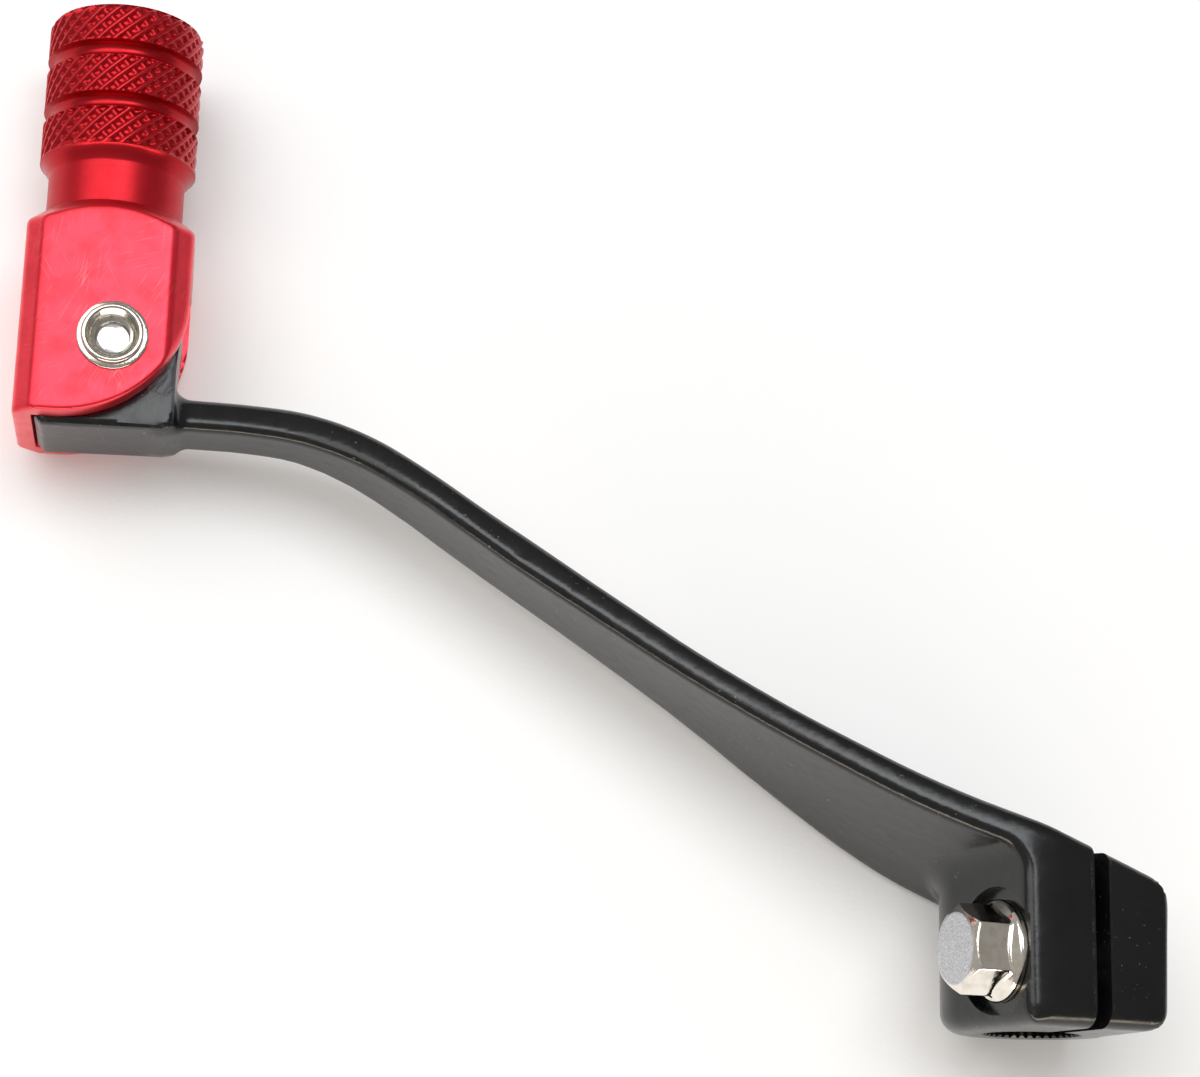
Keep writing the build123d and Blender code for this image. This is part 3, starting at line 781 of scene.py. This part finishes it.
def bright_bolt():
    p = Paint("bright_zinc")
    top = across_bolt(BOLT_TOP)
    height = p.along(BOLT, top)
    radius = p.vector("LENGTH", p.vector("CROSS_PRODUCT", p.vector("SUBTRACT", p.at, top), BOLT))
    disc = p.both(p.ease(height, -0.45, -0.3), p.ease(radius, 4.7, 4.4))
    crystals = p.noise(5.5, 2, 0.7)
    stain = p.ease(p.noise(0.7, 4, 0.6), 0.4, 0.75)
    color = p.mix(stain, (0.88, 0.83, 0.75), (0.72, 0.66, 0.57))
    color = p.mix(disc, color, p.mix(p.ease(crystals, 0.4, 0.7), (0.44, 0.44, 0.46), (0.74, 0.74, 0.77)))
    rough = p.mix_number(stain, 0.08, 0.16)
    rough = p.mix_number(disc, rough, p.ease(crystals, 0.35, 0.65, 0.5, 0.3))
    p.bump(p.noise(0.9, 2), 0.03)
    p.bump(p.noise(3.0, 3, 0.6), 0.006)
    p.bump(p.both(disc, crystals), 0.05)
    return p.done(color, rough, 1.0)


PIN_AXIS = (AXIS_Z, centre)


def bright_rivet():
    p = Paint("rolled_steel")
    reach = p.off_axis(*PIN_AXIS)
    rings = p.node("CombineXYZ", X=p.math("MULTIPLY", reach, 7.0)).outputs[0]
    rings = p.noise(1.0, 2, 0.6, rings)
    stain = p.ease(p.noise(1.1, 4, 0.65), 0.42, 0.7)
    color = p.mix(stain, (0.66, 0.63, 0.58), (0.48, 0.44, 0.38))
    # painted highlight: the flat bottom of the hollow, near the axis, is coloured near white
    color = p.mix(p.ease(reach, 2.1, 1.8), color, (0.93, 0.93, 0.93))
    rough = p.mix_number(stain, 0.10, 0.2)
    p.bump(rings, 0.01)
    p.bump(p.noise(2.5, 3, 0.6), 0.012)
    return p.done(color, rough, 1.0)


def metal_nodes(name, light, dark, rough, rings_about=None):
    # turned, ground or drawn metal for the small inner parts, with rings about an axis or lines across Y
    relief = 0.01
    p = Paint(name)
    stain = p.ease(p.noise(0.8, 4, 0.6), 0.35, 0.7)
    color = p.mix(stain, light, dark)
    color = p.mix(p.both(p.edge(0.8, 2.5), 0.4), color, (0.9, 0.85, 0.8))
    if rings_about:
        reach = p.off_axis(*rings_about)
        lines = p.noise(1.0, 3, 0.6, p.node("CombineXYZ", X=p.math("MULTIPLY", reach, 9.0)).outputs[0])
    else:
        lines = p.noise(1.0, 3, 0.6, p.stretched(AXIS_X, AXIS_Y, AXIS_Z, (0.4, 6.0, 0.4)))
    p.bump(lines, relief)
    p.bump(p.noise(4.0, 2), relief * 0.5)
    return p.done(color, p.mix_number(lines, rough - 0.06, rough + 0.12), 1.0)


def seal_rubber():
    p = Paint("seal_rubber")
    bloom = p.ease(p.noise(1.3, 4, 0.65), 0.4, 0.75)
    color = p.mix(bloom, (0.012, 0.012, 0.012), (0.035, 0.034, 0.032))
    p.bump(p.noise(5.0, 3, 0.6), 0.02)
    return p.done(color, p.mix_number(bloom, 0.55, 0.75))


def finish_piece(obj, mat):
    mark_edges(obj)
    obj.data.materials.clear()
    obj.data.materials.append(mat)


rivet = bright_rivet()
shim = metal_nodes("ground_steel", (0.62, 0.62, 0.63), (0.50, 0.49, 0.47), 0.28, PIN_AXIS)
for obj, mat, slot in (
        (arm, satin_black(), "black_arm"),
        (tip, red_anodised(), "red_tip"),
        (bolt, bright_bolt(), "bolt_chrome"),
        (pin, rivet, "rivet_steel"),
        (washer, rivet, "rivet_steel"),
        (spring, metal_nodes("drawn_wire", (0.50, 0.50, 0.51), (0.34, 0.33, 0.31), 0.3), "spring_steel")):
    finish_piece(obj, mat)
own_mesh(spring)
# the inner parts keep their CAD meshes
inner = {
    "pivot_bush": (
        metal_nodes("bush_bronze", (0.62, 0.42, 0.20), (0.45, 0.28, 0.13), 0.32, PIN_AXIS), "bush_bronze"),
    "thrust_washer_upper": (shim, "shim_steel"),
    "thrust_washer_lower": (shim, "shim_steel"),
    "dust_seal_upper": (seal_rubber(), "seal_rubber"),
    "dust_seal_lower": (seal_rubber(), "seal_rubber"),
    "detent_plunger": (
        metal_nodes("turned_steel", (0.60, 0.60, 0.61), (0.46, 0.45, 0.44), 0.25), "shim_steel"),
}
for node, (mat, slot) in inner.items():
    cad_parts[node].data.materials.clear()
    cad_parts[node].data.materials.append(mat)


# ------------------------------------------------------------------ stage
def paper():
    p = Paint("paper")
    fibre = p.noise(1.5, 4, 0.6)
    p.bump(fibre, 0.02)
    color = p.mix(fibre, (0.93, 0.93, 0.93), (0.90, 0.90, 0.90))
    return p.done(color, 0.95, Specular_IOR_Level=0.1, Emission_Color=(1, 1, 1, 1), Emission_Strength=0.10)


FLOOR = -0.0122     # just under the rivet's head, which is the lowest point
bpy.ops.mesh.primitive_plane_add(size=6, location=(0, 0, FLOOR))
floor = bpy.context.object
floor.name = "floor"
floor.data.materials.append(paper())

camera = bpy.data.cameras.new("camera")
camera.lens = 78
camera.sensor_width = 36
camera.clip_start = 0.01
camera.dof.use_dof = False
eye = bpy.data.objects.new("camera", camera)
bpy.context.scene.collection.objects.link(eye)
# position and directions fitted to the photograph
right, up = Vector((0.98627, 0.02419, 0.16326)), Vector((-0.06406, 0.96774, 0.24361))
back = Vector((-0.15210, -0.25073, 0.95603))
turn = Matrix((right, up, back)).transposed().to_4x4()
eye.matrix_world = Matrix.Translation((-0.1102, -0.0345, 0.3278)) @ turn
bpy.context.scene.camera = eye


MIDDLE = (-0.06, 0.045, 0)      # of the lever, where the lights point


def area(name, energy, size, location, color):
    light = bpy.data.lights.new(name, "AREA")
    light.energy = energy
    light.shape = "RECTANGLE"
    light.size, light.size_y = size
    light.color = color
    obj = bpy.data.objects.new(name, light)
    obj.location = location
    obj.rotation_euler = (Vector(MIDDLE) - Vector(location)).to_track_quat("-Z", "Y").to_euler()
    bpy.context.scene.collection.objects.link(obj)


area("key", 6.0, (0.9, 0.9), (-0.55, 0.43, 0.86), (1.0, 0.99, 0.98))
area("top", 2.6, (0.42, 0.42), (0.06, 0.29, 0.85), (0.94, 0.975, 1.0))
area("low", 8.0, (1.6, 0.2), (-0.06, -0.95, 0.13), (1.0, 0.86, 0.70))

# a sky a little brighter towards the upper left
world = bpy.data.worlds.new("world")
world.use_nodes = True
sky = world.node_tree.nodes
toward = sky.new("ShaderNodeVectorMath")
toward.operation = "DOT_PRODUCT"
toward.inputs[1].default_value = (-0.6, 0.1, 0.79)
glow = sky.new("ShaderNodeMapRange")
glow.interpolation_type = "SMOOTHSTEP"
for socket, value in zip(glow.inputs[1:5], (-0.1, 0.9, 0.27, 0.42)):
    socket.default_value = value
world.node_tree.links.new(sky.new("ShaderNodeTexCoord").outputs["Generated"], toward.inputs[0])
world.node_tree.links.new(toward.outputs["Value"], glow.inputs["Value"])
world.node_tree.links.new(glow.outputs[0], sky["Background"].inputs["Strength"])
sky["Background"].inputs["Color"].default_value = (1, 0.975, 0.94, 1)
bpy.context.scene.world = world
bpy.context.scene.view_settings.view_transform = "Standard"
